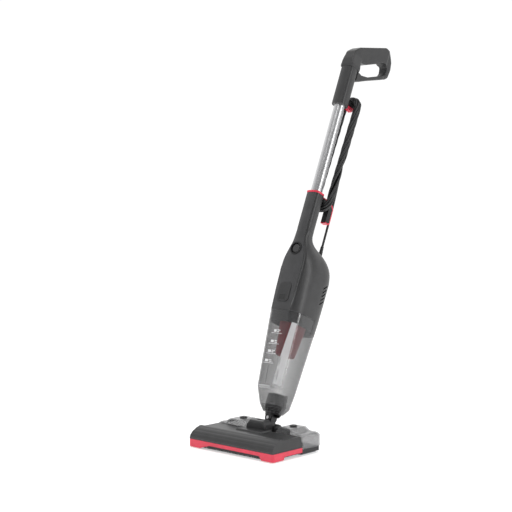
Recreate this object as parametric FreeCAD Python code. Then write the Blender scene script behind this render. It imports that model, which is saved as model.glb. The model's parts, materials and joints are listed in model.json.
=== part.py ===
import FreeCAD
import Part
import os
from math import cos, pi, radians, sin, tan

V = FreeCAD.Vector
X_AXIS = V(1, 0, 0)
Y_AXIS = V(0, 1, 0)
Z_AXIS = V(0, 0, 1)

# Corded stick vacuum with a wet mop unit. Millimetres. +Z is up, the front of the
# floor head faces -Y, and the origin is on the floor under the middle of the mop pad.
# The shapes are drawn from a line HEAD_SHIFT in front of that and moved at the end.

HEAD_SHIFT = 53.0

# ---- posture of the stick on its ankle joint
LEAN = 23.0                      # degrees the stick leans back when it is parked
PIVOT = V(0, 68, 37)             # ankle hinge axis, along X
WAND_AHEAD = 72.5                # the wand line runs this far in front of the pivot
WAND_RAISE = 7.5                 # station 0 of the stick is this far above the pivot

# ---- floor head
HEAD_HALF = 140.0
HEAD_FRONT = -87.0
HEAD_REAR = 19.0
SHELL_SEAM_Z = 21.0
SHELL_WALL = 2.5
DECK_Z = 47.0
END_SLANT = 9.0                  # degrees the two ends of the shell lean inwards
SKIRT_T = 3.0
FOOT_Z = 2.0
SKIRT_RAISED_Z = 12.0
BASE_Z = 7.0
SLOT_HALF = 112.0                # half width of the suction slot
SLOT_Y = (-72.0, -48.0)
HUMP_HALF = 31.0
HUMP_TOP = 71.0
HUMP_Y = (6.0, 33.0)
PLATFORM = (42.0, -22.0, 3.5)    # raised field round the hump: half width, front, height
DUCT_HALF = 19.0
ROLLER_R = 9.0
ROLLER_X = 78.0
ROLLER_Y = -12.0
ROLLER_W = 16.0
AXLE_R = 2.5
TAIL_HALF = 49.0                 # half width of the tail that carries the ankle
TAIL_REAR = 76.0

# ---- water tank and mop
TANK_REAR = 87.0
TANK_INNER_X = 53.0
TANK_Z = (16.0, 61.0)            # floor and crown of the tank
TANK_OUTER_Z = 51.5              # height of its outer ends
TANK_WALL = 2.0
PLUG_X = 84.0                    # place of the two filler plugs
PLUG_Y = 52.0
TRAY_Z = (5.3, 15.8)
PAD_Z = 5.0

# ---- ankle
BARREL_R = 17.6
BARREL_HALF = 22.0
STUB_R = 7.0
STUB_END = 47.0
BUSH_X = (40.0, 47.5)
BUSH_R = 10.0
RUN_FIT = 0.05                   # radial clearance of every running fit
LUG_Y = (-26.0, -8.0)            # tongue of the yoke, measured from the pivot
LUG_TOP = 33.5
SWIVEL_Z = 26.5                  # height of the side tilt pins above the pivot
SWIVEL_Y = -17.0
PIN_R = 4.0
FORK_HALF = 8.5
FORK_LEG_Y = (5.0, 14.0)         # each fork leg, distance from the fork's middle

# ---- body sections: station, half width of the front face, front, half width, rear
SEAM_T = 286.0
CUP_CORNER = (88.0, 29.0, 4.0, 40.0, 98.0)
CUP_RIM = (SEAM_T, 30.5, -21.5, 49.5, 108.5)
CUP_FOOT = ((33.0, 21.0, 40.0, 26.0, 79.0), (50.0, 26.0, 25.0, 36.0, 92.0))
FLANK = ((340.0, 32.5, -23.0, 50.0, 110.0), (388.0, 33.5, -23.5, 50.0, 110.6))
SHOULDER = ((400.0, 33.5, -23.5, 49.6, 109.8), (411.0, 32.9, -23.4, 48.4, 108.0),
            (421.0, 32.0, -23.3, 46.5, 105.5), (435.0, 29.0, -23.0, 42.5, 97.0),
            (448.0, 25.0, -23.0, 36.5, 83.0), (458.0, 21.5, -23.0, 30.5, 65.0),
            (467.0, 18.5, -23.0, 25.5, 41.0), (478.0, 16.8, -23.0, 21.5, 24.0),
            (494.0, 15.5, -23.0, 19.5, 16.0), (508.0, 15.5, -23.0, 19.5, 15.5))
NECK = (15.5, -23.0, 19.5, 15.5)
NECK_TOP = 607.0
VALLEY_RISE = 40.0               # the valley beside the front face starts over this height
VALLEY_LEAST = 0.5
VALLEY_SHARE = 0.14              # its depth, as a share of how much wider the side is
CUP_WALL = 2.2
BODY_WALL = 2.5
POWER_T = 450.0
RELEASE_T = 331.0
COLLAR_T = (262.0, 289.0)
TONGUE_T = 249.0
TONGUE_Y = 66.0
CUP_AXIS_Y = 45.0
SOCKET_Y = 60.0
FLAP_HINGE = (75.5, 82.2)

# ---- wand and handle
TUBE_R = 14.75
TUBE_WALL = 1.2
TUBE_Y = -4.5
TUBE_T = (520.0, 958.0)
SLEEVE_T = (865.0, 975.0)
STRAP_HALF = 14.0
GRIP_HALF = 16.0

# ---- hooks and cord
HOOK_HALF = 8.2
HOOK_ARM_T = (592.0, 607.0)
PRONG_Y = (53.0, 68.0)
PRONG_T = 553.0
RIM_T = 5.0
UPPER_ARM_T = (879.0, 892.0)
UPPER_PRONG_Y = (56.5, 64.5)
UPPER_PRONG_TOP = 904.0
CORD_D = 6.3
HANK_R = 10.5                    # radius of the bundle of seven strands
HANK_X = 23.5                    # distance of each run from the middle
HANK_Y = 30.5                    # distance of the lower bend behind the wand line
HANK_TILT = 2.0                  # degrees the runs lean away from the wand
HANK_T = (605.2, 878.8)          # centres of the two end bends
CORD_EXIT = V(0, 76.0, 466.0)
PLUG_MID = V(-38.0, 30.0, 562.0)
PLUG_SIZE = (17.0, 34.0, 46.0)
PLUG_PIN_R = 2.4
PLUG_PIN_L = 19.0
PLUG_ROOT_R = 1.8
PLUG_PIN_PITCH = 19.0


# ---------------------------------------------------------------- helpers
def box(x0, x1, y0, y1, z0, z1):
    return Part.makeBox(x1 - x0, y1 - y0, z1 - z0, V(x0, y0, z0))


def rod(radius, start, end):
    return Part.makeCylinder(radius, (end - start).Length, start, end - start)


def ring(outer, inner, start, end):
    return rod(outer, start, end).cut(rod(inner, start, end))


def frustum(r0, r1, start, end):
    return Part.makeCone(r0, r1, (end - start).Length, start, end - start)


def polygon_prism(points, direction):
    wire = Part.makePolygon(points + [points[0]])
    return Part.Face(wire).extrude(direction)


def mirrored(shape):
    return shape.mirror(V(0, 0, 0), X_AXIS)


def both_sides(shape):
    return Part.makeCompound([shape, mirrored(shape)])


def fused(shapes):
    return shapes[0].multiFuse(shapes[1:]).removeSplitter()


def rounded_box(x0, x1, y0, y1, z0, z1, radius, along):
    """Box with the four edges parallel to one axis rounded."""
    shape = box(x0, x1, y0, y1, z0, z1)
    edges = []
    for edge in shape.Edges:
        direction = edge.Vertexes[1].Point - edge.Vertexes[0].Point
        if abs(direction.normalize().dot(along)) > 0.99:
            edges.append(edge)
    return shape.makeFillet(radius, edges)


def on_stick(shape):
    """Move a shape from the stick's own upright frame to the parked posture."""
    placed = shape.copy()
    placed.translate(V(0, -WAND_AHEAD, WAND_RAISE))
    placed.rotate(V(0, 0, 0), X_AXIS, -LEAN)
    placed.translate(PIVOT)
    return placed


def on_ankle(shape):
    """The same, for a shape drawn about the ankle pivot."""
    placed = shape.copy()
    placed.rotate(V(0, 0, 0), X_AXIS, -LEAN)
    placed.translate(PIVOT)
    return placed


def section(station, inset=0.0):
    """Closed body section: gently bowed front face, a valley at each corner, rounded back."""
    t, front_half, front, half, rear = station
    front_half = front_half - 0.8 * inset
    front = front + inset
    half = half - inset
    rear = rear - inset
    depth = rear - front
    flare = half - front_half
    corner_y = front + 2.5
    corner = (front_half, corner_y)
    bevel = (front_half + 0.3 * flare, corner_y + 0.065 * depth)
    side = (front_half + 0.78 * flare, front + 0.21 * depth)
    widest = (half, front + 0.5 * depth)
    shoulder = (0.82 * half, front + 0.865 * depth)
    rise = min(max((t - SEAM_T) / VALLEY_RISE, 0.0), 1.0)
    dip = 0.05 + (VALLEY_LEAST + VALLEY_SHARE * flare) * rise
    right = [V(x, y, t) for x, y in (bevel, side, widest, shoulder)]
    edge = V(corner[0], corner[1], t)
    chord = right[0] - edge
    valley = (edge + right[0]) * 0.5 + V(-chord.y, chord.x, 0).normalize() * dip
    left = [V(-p.x, p.y, t) for p in reversed(right)]
    front_arc = Part.Arc(V(-corner[0], corner[1], t), V(0, front, t), V(corner[0], corner[1], t))
    back = Part.BSplineCurve()
    back.interpolate(right + [V(0, rear, t)] + left)
    return Part.Wire([front_arc.toShape(),
                      Part.Arc(edge, valley, right[0]).toShape(),
                      back.toShape(),
                      Part.Arc(left[-1], V(-valley.x, valley.y, t), V(-edge.x, edge.y, t)).toShape()])


def body_loft(stations, inset=0.0, ruled=False):
    return Part.makeLoft([section(s, inset) for s in stations], True, ruled)


def neck_station(t):
    return (t,) + NECK


def between(low, high, t):
    """Station on the straight line between two stations."""
    k = (t - low[0]) / (high[0] - low[0])
    return tuple(a + k * (b - a) for a, b in zip(low, high))


# ---------------------------------------------------------------- floor head
def head_block(inset, low):
    """Solid outline of the head's top shell, made smaller by the inset."""
    front = HEAD_FRONT + inset
    rear = HEAD_REAR - inset
    deck = DECK_Z - inset
    ridges = [(front, low), (front, SHELL_SEAM_Z), (front + 1.5, 28.0 - inset * 0.3),
              (front + 6.0, 35.5 - inset * 0.6), (front + 14.0, 42.0 - inset * 0.9),
              (front + 26.0, 48.0 - inset), (front + 38.0, deck + 3.5)]
    flute = 0.9
    edges = [Part.LineSegment(V(0, *ridges[0]), V(0, *ridges[1])).toShape()]
    for a, b in zip(ridges[1:-1], ridges[2:]):
        start = V(0, *a)
        end = V(0, *b)
        outward = (end - start).cross(X_AXIS).normalize() * -flute
        edges.append(Part.Arc(start, (start + end) * 0.5 + outward, end).toShape())
    corners = [V(0, *ridges[-1]), V(0, front + 42.0, deck), V(0, rear, deck), V(0, rear, low),
               V(0, front, low)]
    for a, b in zip(corners, corners[1:]):
        edges.append(Part.LineSegment(a, b).toShape())
    block = Part.Face(Part.Wire(edges)).extrude(V(2 * HEAD_HALF + 20, 0, 0))
    block.translate(V(-HEAD_HALF - 10, 0, 0))
    lean = tan(radians(END_SLANT))
    half_low = HEAD_HALF - inset + lean * (SHELL_SEAM_Z - low)
    half_high = HEAD_HALF - inset - lean * (60.0 - SHELL_SEAM_Z)
    ends = polygon_prism([V(-half_low, -100, low), V(half_low, -100, low),
                          V(half_high, -100, 60), V(-half_high, -100, 60)], V(0, 200, 0))
    plan = rounded_box(-HEAD_HALF - 20 + inset, HEAD_HALF + 20 - inset, front, 60, low, 60,
                       26.0, Z_AXIS)
    return block.common(ends).common(plan)


def head_shell():
    low = SHELL_SEAM_Z - 6
    shell = head_block(0, low).cut(head_block(SHELL_WALL, low))
    shell = shell.cut(box(-200, 200, -200, 200, low - 1, SHELL_SEAM_Z))
    half, front, height = PLATFORM
    platform = box(-half, half, front, HEAD_REAR, DECK_Z - 2.5, DECK_Z + height)
    platform = platform.makeChamfer(3.0, [e for e in platform.Edges
                                          if e.BoundBox.ZMin > DECK_Z + height - 0.01
                                          and e.BoundBox.YMin < HEAD_REAR - 1])
    window = box(-HUMP_HALF + 4, HUMP_HALF - 4, HUMP_Y[0] + 4, HEAD_REAR + 5, SHELL_SEAM_Z - 1, 60)
    return fused([shell, platform]).cut(window)


def skirt_outline(inset, z0, z1):
    half = HEAD_HALF + 1.0 - inset
    block = rounded_box(-half, half, HEAD_FRONT - 1 + inset, 60, z0, z1, 6.0 - inset, Z_AXIS)
    return block.cut(box(-200, 200, HEAD_REAR, 100, z0 - 1, z1 + 1))


def bumper_skirt():
    top = SHELL_SEAM_Z - 0.2
    skirt = skirt_outline(0, FOOT_Z, top).cut(skirt_outline(SKIRT_T, FOOT_Z - 1, top + 1))
    low = FOOT_Z - 1
    front_gap = polygon_prism([V(-104, -100, low), V(104, -100, low),
                               V(97, -100, SKIRT_RAISED_Z), V(-70, -100, SKIRT_RAISED_Z)],
                              V(0, 25, 0))
    side_gap = polygon_prism([V(-200, -50, low), V(-200, 60, low), V(-200, 60, 9.5),
                              V(-200, -46, 9.5)], V(400, 0, 0))
    return skirt.cut(front_gap).cut(side_gap)


def head_base():
    half = HEAD_HALF + 1.0 - SKIRT_T - 0.3
    front = HEAD_FRONT - 1 + SKIRT_T + 0.3
    top = SHELL_SEAM_Z - 0.2
    tray = rounded_box(-half, half, front, 60, BASE_Z, top, 5.0, Z_AXIS)
    tray = tray.cut(box(-200, 200, HEAD_REAR - 0.4, 100, 0, 60))
    hollow = box(-half + 3, half - 3, front + 3, HEAD_REAR - 3.4, BASE_Z + 3, top + 1)
    tray = tray.cut(hollow)
    tail = box(-TAIL_HALF, TAIL_HALF, HEAD_REAR - 6, TAIL_REAR, BASE_Z, 16.5)
    posts = []
    for side in (1, -1):
        x0, x1 = sorted((side * (BUSH_X[0] - 0.5), side * (BUSH_X[1] + 1.5)))
        posts.append(box(x0, x1, PIVOT.y - 13, PIVOT.y + 8, 16, PIVOT.z))
        posts.append(rod(13, V(x0, PIVOT.y, PIVOT.z), V(x1, PIVOT.y, PIVOT.z)))
    base = fused([tray, tail] + posts)
    cuts = [box(-SLOT_HALF, SLOT_HALF, SLOT_Y[0], SLOT_Y[1], 0, BASE_Z + 4),
            rod(BUSH_R, V(-BUSH_X[1], PIVOT.y, PIVOT.z), V(BUSH_X[1], PIVOT.y, PIVOT.z)),
            box(-34, 34, 40, TAIL_REAR + 1, 13, 60),
            box(-DUCT_HALF - 0.3, DUCT_HALF + 0.3, HEAD_REAR - 8, HEAD_REAR, 16.5, 30)]
    for side in (1, -1):
        x = side * ROLLER_X
        cuts.append(box(x - ROLLER_W / 2 - 3, x + ROLLER_W / 2 + 3, ROLLER_Y - ROLLER_R - 3,
                        ROLLER_Y + ROLLER_R + 3, 0, BASE_Z + 4))
        for y in (-38.0, 10.0):
            cuts.append(rod(2.05, V(side * 118, y, 0), V(side * 118, y, 30)))
    base = base.cut(Part.makeCompound(cuts))
    cradles = []
    for side in (1, -1):
        for edge in (-1, 1):
            x = side * ROLLER_X + edge * (ROLLER_W / 2 + 5.0)
            cradles.append(box(x - 1.8, x + 1.8, ROLLER_Y - 5, ROLLER_Y + 5, BASE_Z + 2.5, 14.5))
    base = fused([base] + cradles)
    return base.cut(roller_axles())


def hump_block(inset):
    """Housing over the air duct: front edge rounded, long top edges bevelled."""
    half = HUMP_HALF - inset
    front = HUMP_Y[0] + inset
    top = HUMP_TOP - inset
    bevel = 9.0 - 0.4 * inset
    outline = [V(-half, front, 20), V(half, front, 20), V(half, front, top - bevel),
               V(half - bevel, front, top), V(-half + bevel, front, top),
               V(-half, front, top - bevel)]
    block = polygon_prism(outline, V(0, 60, 0))
    return block.makeFillet(5.0 - inset, [e for e in block.Edges if e.BoundBox.YMax < front + 0.01
                                          and e.BoundBox.ZMin > DECK_Z])


def hump_cover():
    front, rear = HUMP_Y
    hump = hump_block(0).cut(hump_block(2.5)).cut(box(-60, 60, rear, 80, 0, 90))
    hump = hump.cut(box(-60, 60, -60, HEAD_REAR + 0.3, 0, DECK_Z + PLATFORM[2] + 0.1))
    slot = rounded_box(-10, 6, 19, 26, HUMP_TOP - 6, HUMP_TOP + 5, 2.0, Z_AXIS)
    return hump.cut(slot)


def head_duct():
    channel = box(-DUCT_HALF, DUCT_HALF, -44, 37, BASE_Z + 3.2, 44).cut(
        box(-DUCT_HALF + 2, DUCT_HALF - 2, -45, 38, BASE_Z + 5.2, 42))
    tray = box(-DUCT_HALF - 1, DUCT_HALF + 1, 5, 48, 0, 17)
    return channel.cut(tray)


def bristle_strips():
    strips = []
    for y in (SLOT_Y[0] - 5.0, SLOT_Y[1] + 2.0):
        strips.append(box(-SLOT_HALF + 2, SLOT_HALF - 2, y, y + 3, 1.0, BASE_Z - 0.05))
    return Part.makeCompound(strips)


def roller_pair():
    wheels = []
    for side in (1, -1):
        x = side * ROLLER_X
        start = V(x - ROLLER_W / 2, ROLLER_Y, ROLLER_R)
        end = V(x + ROLLER_W / 2, ROLLER_Y, ROLLER_R)
        wheels.append(ring(ROLLER_R, AXLE_R + RUN_FIT, start, end))
    return Part.makeCompound(wheels)


def roller_axles():
    pins = []
    for side in (1, -1):
        x = side * ROLLER_X
        reach = ROLLER_W / 2 + 6.5
        pins.append(rod(AXLE_R, V(x - reach, ROLLER_Y, ROLLER_R), V(x + reach, ROLLER_Y, ROLLER_R)))
    return Part.makeCompound(pins)


def head_screws():
    screws = []
    for x in (-118, 118):
        for y in (-38.0, 10.0):
            head = rod(4, V(x, y, BASE_Z - 1.8), V(x, y, BASE_Z - 0.02))
            screws.append(head.fuse(rod(2, V(x, y, BASE_Z - 0.5), V(x, y, 19))).removeSplitter())
    return Part.makeCompound(screws)


def axle_bushes():
    a = V(BUSH_X[0], PIVOT.y, PIVOT.z)
    b = V(BUSH_X[1], PIVOT.y, PIVOT.z)
    return both_sides(ring(BUSH_R - 0.01, STUB_R + RUN_FIT, a, b))


# ---------------------------------------------------------------- water tank and mop
def lobe(inset):
    """One side of the tank: a box with a raised crown that falls away to the outer end."""
    y0 = HEAD_REAR + 1.5 + inset
    y1 = TANK_REAR - inset
    z0 = TANK_Z[0] + inset
    x0 = TANK_INNER_X + inset
    x1 = HEAD_HALF - inset
    crown = TANK_Z[1] - inset
    outer = TANK_OUTER_Z - inset
    outline = [V(x0, y0, z0), V(x1, y0, z0), V(x1, y0, outer - 5), V(x1 - 5, y0, outer - 1),
               V(x1 - 26, y0, outer), V(x1 - 36, y0, crown), V(x0 + 12, y0, crown),
               V(x0, y0, crown - 11)]
    block = polygon_prism(outline, V(0, y1 - y0, 0))
    slope = polygon_prism([V(0, y1 + 1, 42 - inset), V(0, y1 - 8, 52 - inset), V(0, y1 - 19, 78),
                           V(0, y1 + 1, 78)], V(200, 0, 0))
    return block.cut(slope)


def bridge_channel(inset, reach):
    """Bar between the two halves of the tank, or the water passage inside it."""
    z0 = TANK_Z[0]
    return box(-TANK_INNER_X - reach, TANK_INNER_X + reach, TANK_REAR - 6 + inset,
               TANK_REAR - inset, z0 + inset, z0 + 5 - inset)


def water_tank():
    """Two hollow halves, each with a filler bore; the bridge joins them."""
    crown = TANK_Z[1]
    bore = rod(7.0, V(PLUG_X, PLUG_Y, crown - 8), V(PLUG_X, PLUG_Y, crown + 5))
    half = lobe(0).cut(lobe(TANK_WALL)).cut(bore).cut(bridge_channel(1.5, 3))
    return both_sides(half)


def tank_bridge():
    return bridge_channel(0, 0).cut(bridge_channel(1.5, 1))


def tank_tray():
    half = HEAD_HALF
    block = rounded_box(-half, half, HEAD_REAR - 20, TANK_REAR, TRAY_Z[0], TRAY_Z[1], 6.0, Z_AXIS)
    block = block.cut(box(-200, 200, -50, HEAD_REAR + 1, 0, 60))
    gap = box(-TAIL_HALF - 1.0, TAIL_HALF + 1.0, -50, TAIL_REAR + 1.0, 0, 60)
    return block.cut(gap)


def mop_pad():
    pad = rounded_box(-HEAD_HALF + 6, HEAD_HALF - 6, HEAD_REAR + 3, TANK_REAR - 3, 0, PAD_Z,
                      8.0, Z_AXIS)
    return pad.makeFillet(1.5, [e for e in pad.Edges if e.BoundBox.ZMax < 0.1])


def tank_plug(side):
    x = side * PLUG_X
    crown = TANK_Z[1]
    stem = rod(6.7, V(x, PLUG_Y, crown - 5), V(x, PLUG_Y, crown + 0.2))
    cap = rod(9.5, V(x, PLUG_Y, crown + 0.2), V(x, PLUG_Y, crown + 2.4))
    return stem.fuse(cap).removeSplitter()


# ---------------------------------------------------------------- ankle (drawn about the pivot)
def ankle_yoke():
    barrel = rod(BARREL_R, V(-BARREL_HALF, 0, 0), V(BARREL_HALF, 0, 0))
    barrel = barrel.makeFillet(4.0, barrel.Edges[0:1] + barrel.Edges[2:3])
    wide, narrow, y = 16.0, 10.0, LUG_Y[0]
    lug = polygon_prism([V(-wide, y, -6), V(wide, y, -6), V(wide, y, 9), V(narrow, y, 20),
                         V(narrow, y, LUG_TOP - 3), V(narrow - 3, y, LUG_TOP),
                         V(3 - narrow, y, LUG_TOP), V(-narrow, y, LUG_TOP - 3),
                         V(-narrow, y, 20), V(-wide, y, 9)], V(0, LUG_Y[1] - y, 0))
    yoke = fused([barrel, lug])
    air = rod(6.5, V(0, -14, 0), V(0, SWIVEL_Y, LUG_TOP + 1))
    mouth = rod(9.0, V(0, -14, -2), V(0, -40, -14))
    holes = [air, rod(STUB_R, V(-40, 0, 0), V(-10, 0, 0)), rod(STUB_R, V(10, 0, 0), V(40, 0, 0)),
             rod(PIN_R + RUN_FIT, V(0, LUG_Y[0] - 1, SWIVEL_Z), V(0, LUG_Y[0] + 5.5, SWIVEL_Z)),
             rod(PIN_R + RUN_FIT, V(0, LUG_Y[1] - 5.5, SWIVEL_Z), V(0, LUG_Y[1] + 1, SWIVEL_Z)),
             mouth]
    return yoke.cut(Part.makeCompound(holes))


def axle_stubs():
    return both_sides(rod(STUB_R, V(10, 0, 0), V(STUB_END, 0, 0)))


def neck_fork():
    """Tapered cuff whose two legs straddle the yoke's tongue, front and back."""
    top_z = 40.0
    socket_y = SOCKET_Y - WAND_AHEAD
    circles = [Part.Wire(Part.makeCircle(18.5, V(0, SWIVEL_Y + 2.5, LUG_TOP - 1.0))),
               Part.Wire(Part.makeCircle(21.0, V(0, socket_y, top_z)))]
    cuff = Part.makeLoft(circles, True)
    spigot = rod(15.8, V(0, socket_y, top_z), V(0, socket_y, top_z + 22))
    legs = []
    for side in (-1, 1):
        y0, y1 = sorted((SWIVEL_Y + side * (FORK_LEG_Y[0] + 4.5), SWIVEL_Y + side * FORK_LEG_Y[1]))
        leg = box(-FORK_HALF, FORK_HALF, y0, y1, SWIVEL_Z, LUG_TOP + 4)
        boss = rod(FORK_HALF, V(0, y0, SWIVEL_Z), V(0, y1, SWIVEL_Z))
        legs += [leg, boss]
    fork = fused([cuff, spigot] + legs)
    room = box(-30, 30, LUG_Y[0] - 0.4, LUG_Y[1] + 0.4, -20, LUG_TOP + 4.5)
    swing = rod(12.8, V(0, LUG_Y[0] - 0.4, SWIVEL_Z), V(0, LUG_Y[1] + 0.4, SWIVEL_Z))
    bore = rod(12.8, V(0, socket_y, LUG_TOP + 2), V(0, socket_y, 90))
    pins = rod(PIN_R, V(0, SWIVEL_Y - 30, SWIVEL_Z), V(0, SWIVEL_Y + 30, SWIVEL_Z))
    return fork.cut(Part.makeCompound([room, swing, bore, pins]))


def swivel_pins():
    reach = FORK_LEG_Y[1]
    front = rod(PIN_R, V(0, SWIVEL_Y - reach, SWIVEL_Z), V(0, LUG_Y[0] + 5, SWIVEL_Z))
    back = rod(PIN_R, V(0, LUG_Y[1] - 5, SWIVEL_Z), V(0, SWIVEL_Y + reach, SWIVEL_Z))
    return Part.makeCompound([front, back])


# ---------------------------------------------------------------- dust cup (stick frame)
def cup_block(inset, floor_inset):
    """Outline of the cup: straight tapered walls over a chamfered foot."""
    corner = CUP_CORNER
    wall = body_loft((corner, CUP_RIM), inset, True)
    low = list(CUP_FOOT)
    if floor_inset:
        low[0] = between(CUP_FOOT[0], CUP_FOOT[1], CUP_FOOT[0][0] + floor_inset)
    foot = body_loft((low[0], low[1], corner), inset, True)
    return fused([wall, foot])


def tongue_space(grow):
    return box(-80, 80, TONGUE_Y - grow, 140, TONGUE_T - grow, SEAM_T + 30)


def dust_cup():
    cup = cup_block(0, 0).cut(cup_block(CUP_WALL, 2.5))
    mouth = body_loft((between(CUP_CORNER, CUP_RIM, SEAM_T - 1), CUP_RIM), CUP_WALL, True)
    mouth.translate(V(0, 0, 0.6))
    inlet = rod(21.5, V(0, SOCKET_Y, 20), V(0, SOCKET_Y, 45))
    trim = box(-100, 100, -100, 200, SEAM_T - 0.3, SEAM_T + 5)
    return cup.cut(mouth).cut(inlet).cut(trim).cut(tongue_space(0.3))


def inlet_socket():
    """Dark block in the foot of the cup that takes the neck and ends in the flap seat."""
    lower = frustum(22.5, 27.0, V(0, SOCKET_Y, 33.2), V(0, SOCKET_Y, 56))
    upper = frustum(27.0, 25.0, V(0, SOCKET_Y, 56), V(0, SOCKET_Y, 80))
    block = fused([lower, upper]).common(cup_block(CUP_WALL + 0.15, 2.65))
    plug = rod(21.3, V(0, SOCKET_Y, 33.05), V(0, SOCKET_Y, 40))
    ears = []
    for side in (1, -1):
        x0, x1 = sorted((side * 12.4, side * 15.6))
        ears.append(box(x0, x1, FLAP_HINGE[0] - 3, FLAP_HINGE[0] + 3, 78, FLAP_HINGE[1] + 3))
    block = fused([block, plug] + ears)
    bar = rod(1.6 + RUN_FIT, V(-20, FLAP_HINGE[0], FLAP_HINGE[1]), V(20, FLAP_HINGE[0], FLAP_HINGE[1]))
    block = block.cut(bar)
    return block.cut(Part.makeCompound([rod(16.0, V(0, SOCKET_Y, 30), V(0, SOCKET_Y, 55.5)),
                                        rod(12.0, V(0, SOCKET_Y, 50), V(0, SOCKET_Y, 90))]))


def inlet_flap():
    """Rubber flap on a hinge bar over the inlet."""
    disc = rod(14.0, V(0, SOCKET_Y, 80.6), V(0, SOCKET_Y, 82.6))
    bar = rod(1.6, V(-14.5, FLAP_HINGE[0], FLAP_HINGE[1]), V(14.5, FLAP_HINGE[0], FLAP_HINGE[1]))
    web = box(-6, 6, SOCKET_Y + 10, FLAP_HINGE[0], 80.9, 82.6)
    return fused([disc, bar, web])


# ---------------------------------------------------------------- hand unit (stick frame)
def housing_loft(inset):
    """Straight flanks, a swept shoulder and a straight neck."""
    flank = body_loft((CUP_RIM,) + FLANK, inset, True)
    shoulder = body_loft(FLANK[1:] + SHOULDER, inset)
    neck = body_loft((SHOULDER[-1], neck_station(NECK_TOP)), inset, True)
    return fused([flank, shoulder, neck])


def front_zone(grow):
    """Space in front of the crease line, where the front panel lies."""
    wires = []
    for station in ((SEAM_T - 5,) + CUP_RIM[1:],) + FLANK + SHOULDER + (neck_station(NECK_TOP + 1),):
        t, half, front = station[:3]
        x = half - 0.5 + grow
        y = front + BODY_WALL + 2.0 + grow
        wires.append(Part.makePolygon([V(-x, -60, t), V(x, -60, t), V(x, y, t), V(-x, y, t),
                                       V(-x, -60, t)]))
    return Part.makeLoft(wires, True, True)


def housing_shell():
    shell = housing_loft(0).cut(housing_loft(BODY_WALL))
    return shell.cut(rod(TUBE_R + 0.02, V(0, TUBE_Y, 500), V(0, TUBE_Y, 640)))


def front_panel(shell):
    panel = shell.common(front_zone(0))
    button = rod(17.2, V(0, -60, POWER_T), V(0, 0, POWER_T))
    pocket = rounded_box(-19.6, 19.6, -60, 0, RELEASE_T - 25.6, RELEASE_T + 25.6, 10.0, Y_AXIS)
    return panel.cut(button).cut(pocket)


def exhaust_slots():
    slots = []
    for k in range(5):
        t = 379.0 - 10.5 * k
        for side in (1, -1):
            slot = box(-26, 26, -11, 11, -1.7, 1.7)
            slot.rotate(V(0, 0, 0), X_AXIS, 38)
            slot.translate(V(side * 46, 75, t))
            slots.append(slot)
    return Part.makeCompound(slots)


def body_shell(shell):
    body = shell.cut(front_zone(0.0)).cut(exhaust_slots())
    hole = rod(5.3, CORD_EXIT + V(0, 0, -40), CORD_EXIT + V(0, 0, 20))
    low = between(CUP_CORNER, CUP_RIM, TONGUE_T)
    tongue = body_loft((low, CUP_RIM), 0, True).cut(body_loft((low, CUP_RIM), 2.4, True))
    tongue = tongue.common(tongue_space(0))
    bolt_holes = [rod(2.0, start, end) for start, end in screw_lines()]
    return fused([body, tongue]).cut(hole).cut(Part.makeCompound(bolt_holes))


def screw_lines():
    return [(V(side * 24, 90, t), V(side * 24, 118, t)) for side in (1, -1) for t in (310.0, 398.0)]


def body_screws():
    return Part.makeCompound([rod(2.0, V(a.x, 93, a.z), V(a.x, 106, a.z)) for a, b in screw_lines()])


def collar():
    low = between(CUP_CORNER, CUP_RIM, COLLAR_T[0])
    high = (COLLAR_T[1],) + CUP_RIM[1:]
    outer = body_loft((low, high), CUP_WALL + 0.6, True)
    inner = body_loft((low, high), CUP_WALL + 3.0, True)
    return outer.cut(inner)


def cup_seal():
    low = between(CUP_CORNER, CUP_RIM, 257.0)
    high = between(CUP_CORNER, CUP_RIM, COLLAR_T[0])
    outer = body_loft((low, high), CUP_WALL + 0.5, True)
    return outer.cut(body_loft((low, high), CUP_WALL + 3.2, True))


def filter_plate():
    low = (COLLAR_T[1],) + CUP_RIM[1:]
    high = (COLLAR_T[1] + 3.0,) + CUP_RIM[1:]
    plate = body_loft((low, high), BODY_WALL + 1.2, True)
    latch_notch = box(-6.5, 6.5, -40, -9, 280, 300)
    return plate.cut(rod(24, V(0, CUP_AXIS_Y, 200), V(0, CUP_AXIS_Y, 400))).cut(latch_notch)


def turned(profile, axis_y):
    """Solid of revolution about an upright axis, from (radius, station) corners."""
    wire = Part.makePolygon([V(r, 0, t) for r, t in profile + profile[:1]])
    solid = Part.Face(wire).revolve(V(0, 0, 0), Z_AXIS, 360)
    solid.translate(V(0, axis_y, 0))
    return solid


def filter_basket():
    low, high = 180.0, COLLAR_T[0]
    profile = [(0, low), (25, low), (35, high), (35, COLLAR_T[1]), (33, COLLAR_T[1]), (33, high),
               (23, low + 2), (0, low + 2)]
    return turned(profile, CUP_AXIS_Y)


def filter_core():
    low, high = 186.0, COLLAR_T[1]
    return turned([(12, low), (20, low), (29, high), (20, high), (12, low + 4)], CUP_AXIS_Y)


def motor():
    case = rod(34, V(0, CUP_AXIS_Y, 326), V(0, CUP_AXIS_Y, 392))
    cap = rod(24, V(0, CUP_AXIS_Y, 392), V(0, CUP_AXIS_Y, 408))
    return fused([case, cap]).cut(rod(4.0 + RUN_FIT, V(0, CUP_AXIS_Y, 320), V(0, CUP_AXIS_Y, 352)))


def motor_mount(t):
    return ring(39.5, 34.0, V(0, CUP_AXIS_Y, t), V(0, CUP_AXIS_Y, t + 9))


def fan_cover():
    a = V(0, CUP_AXIS_Y, 296)
    b = V(0, CUP_AXIS_Y, 324)
    cover = ring(39.0, 36.5, a, b)
    floor = ring(36.5, 22.0, a, a + V(0, 0, 2.5))
    return cover.fuse(floor).removeSplitter()


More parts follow.
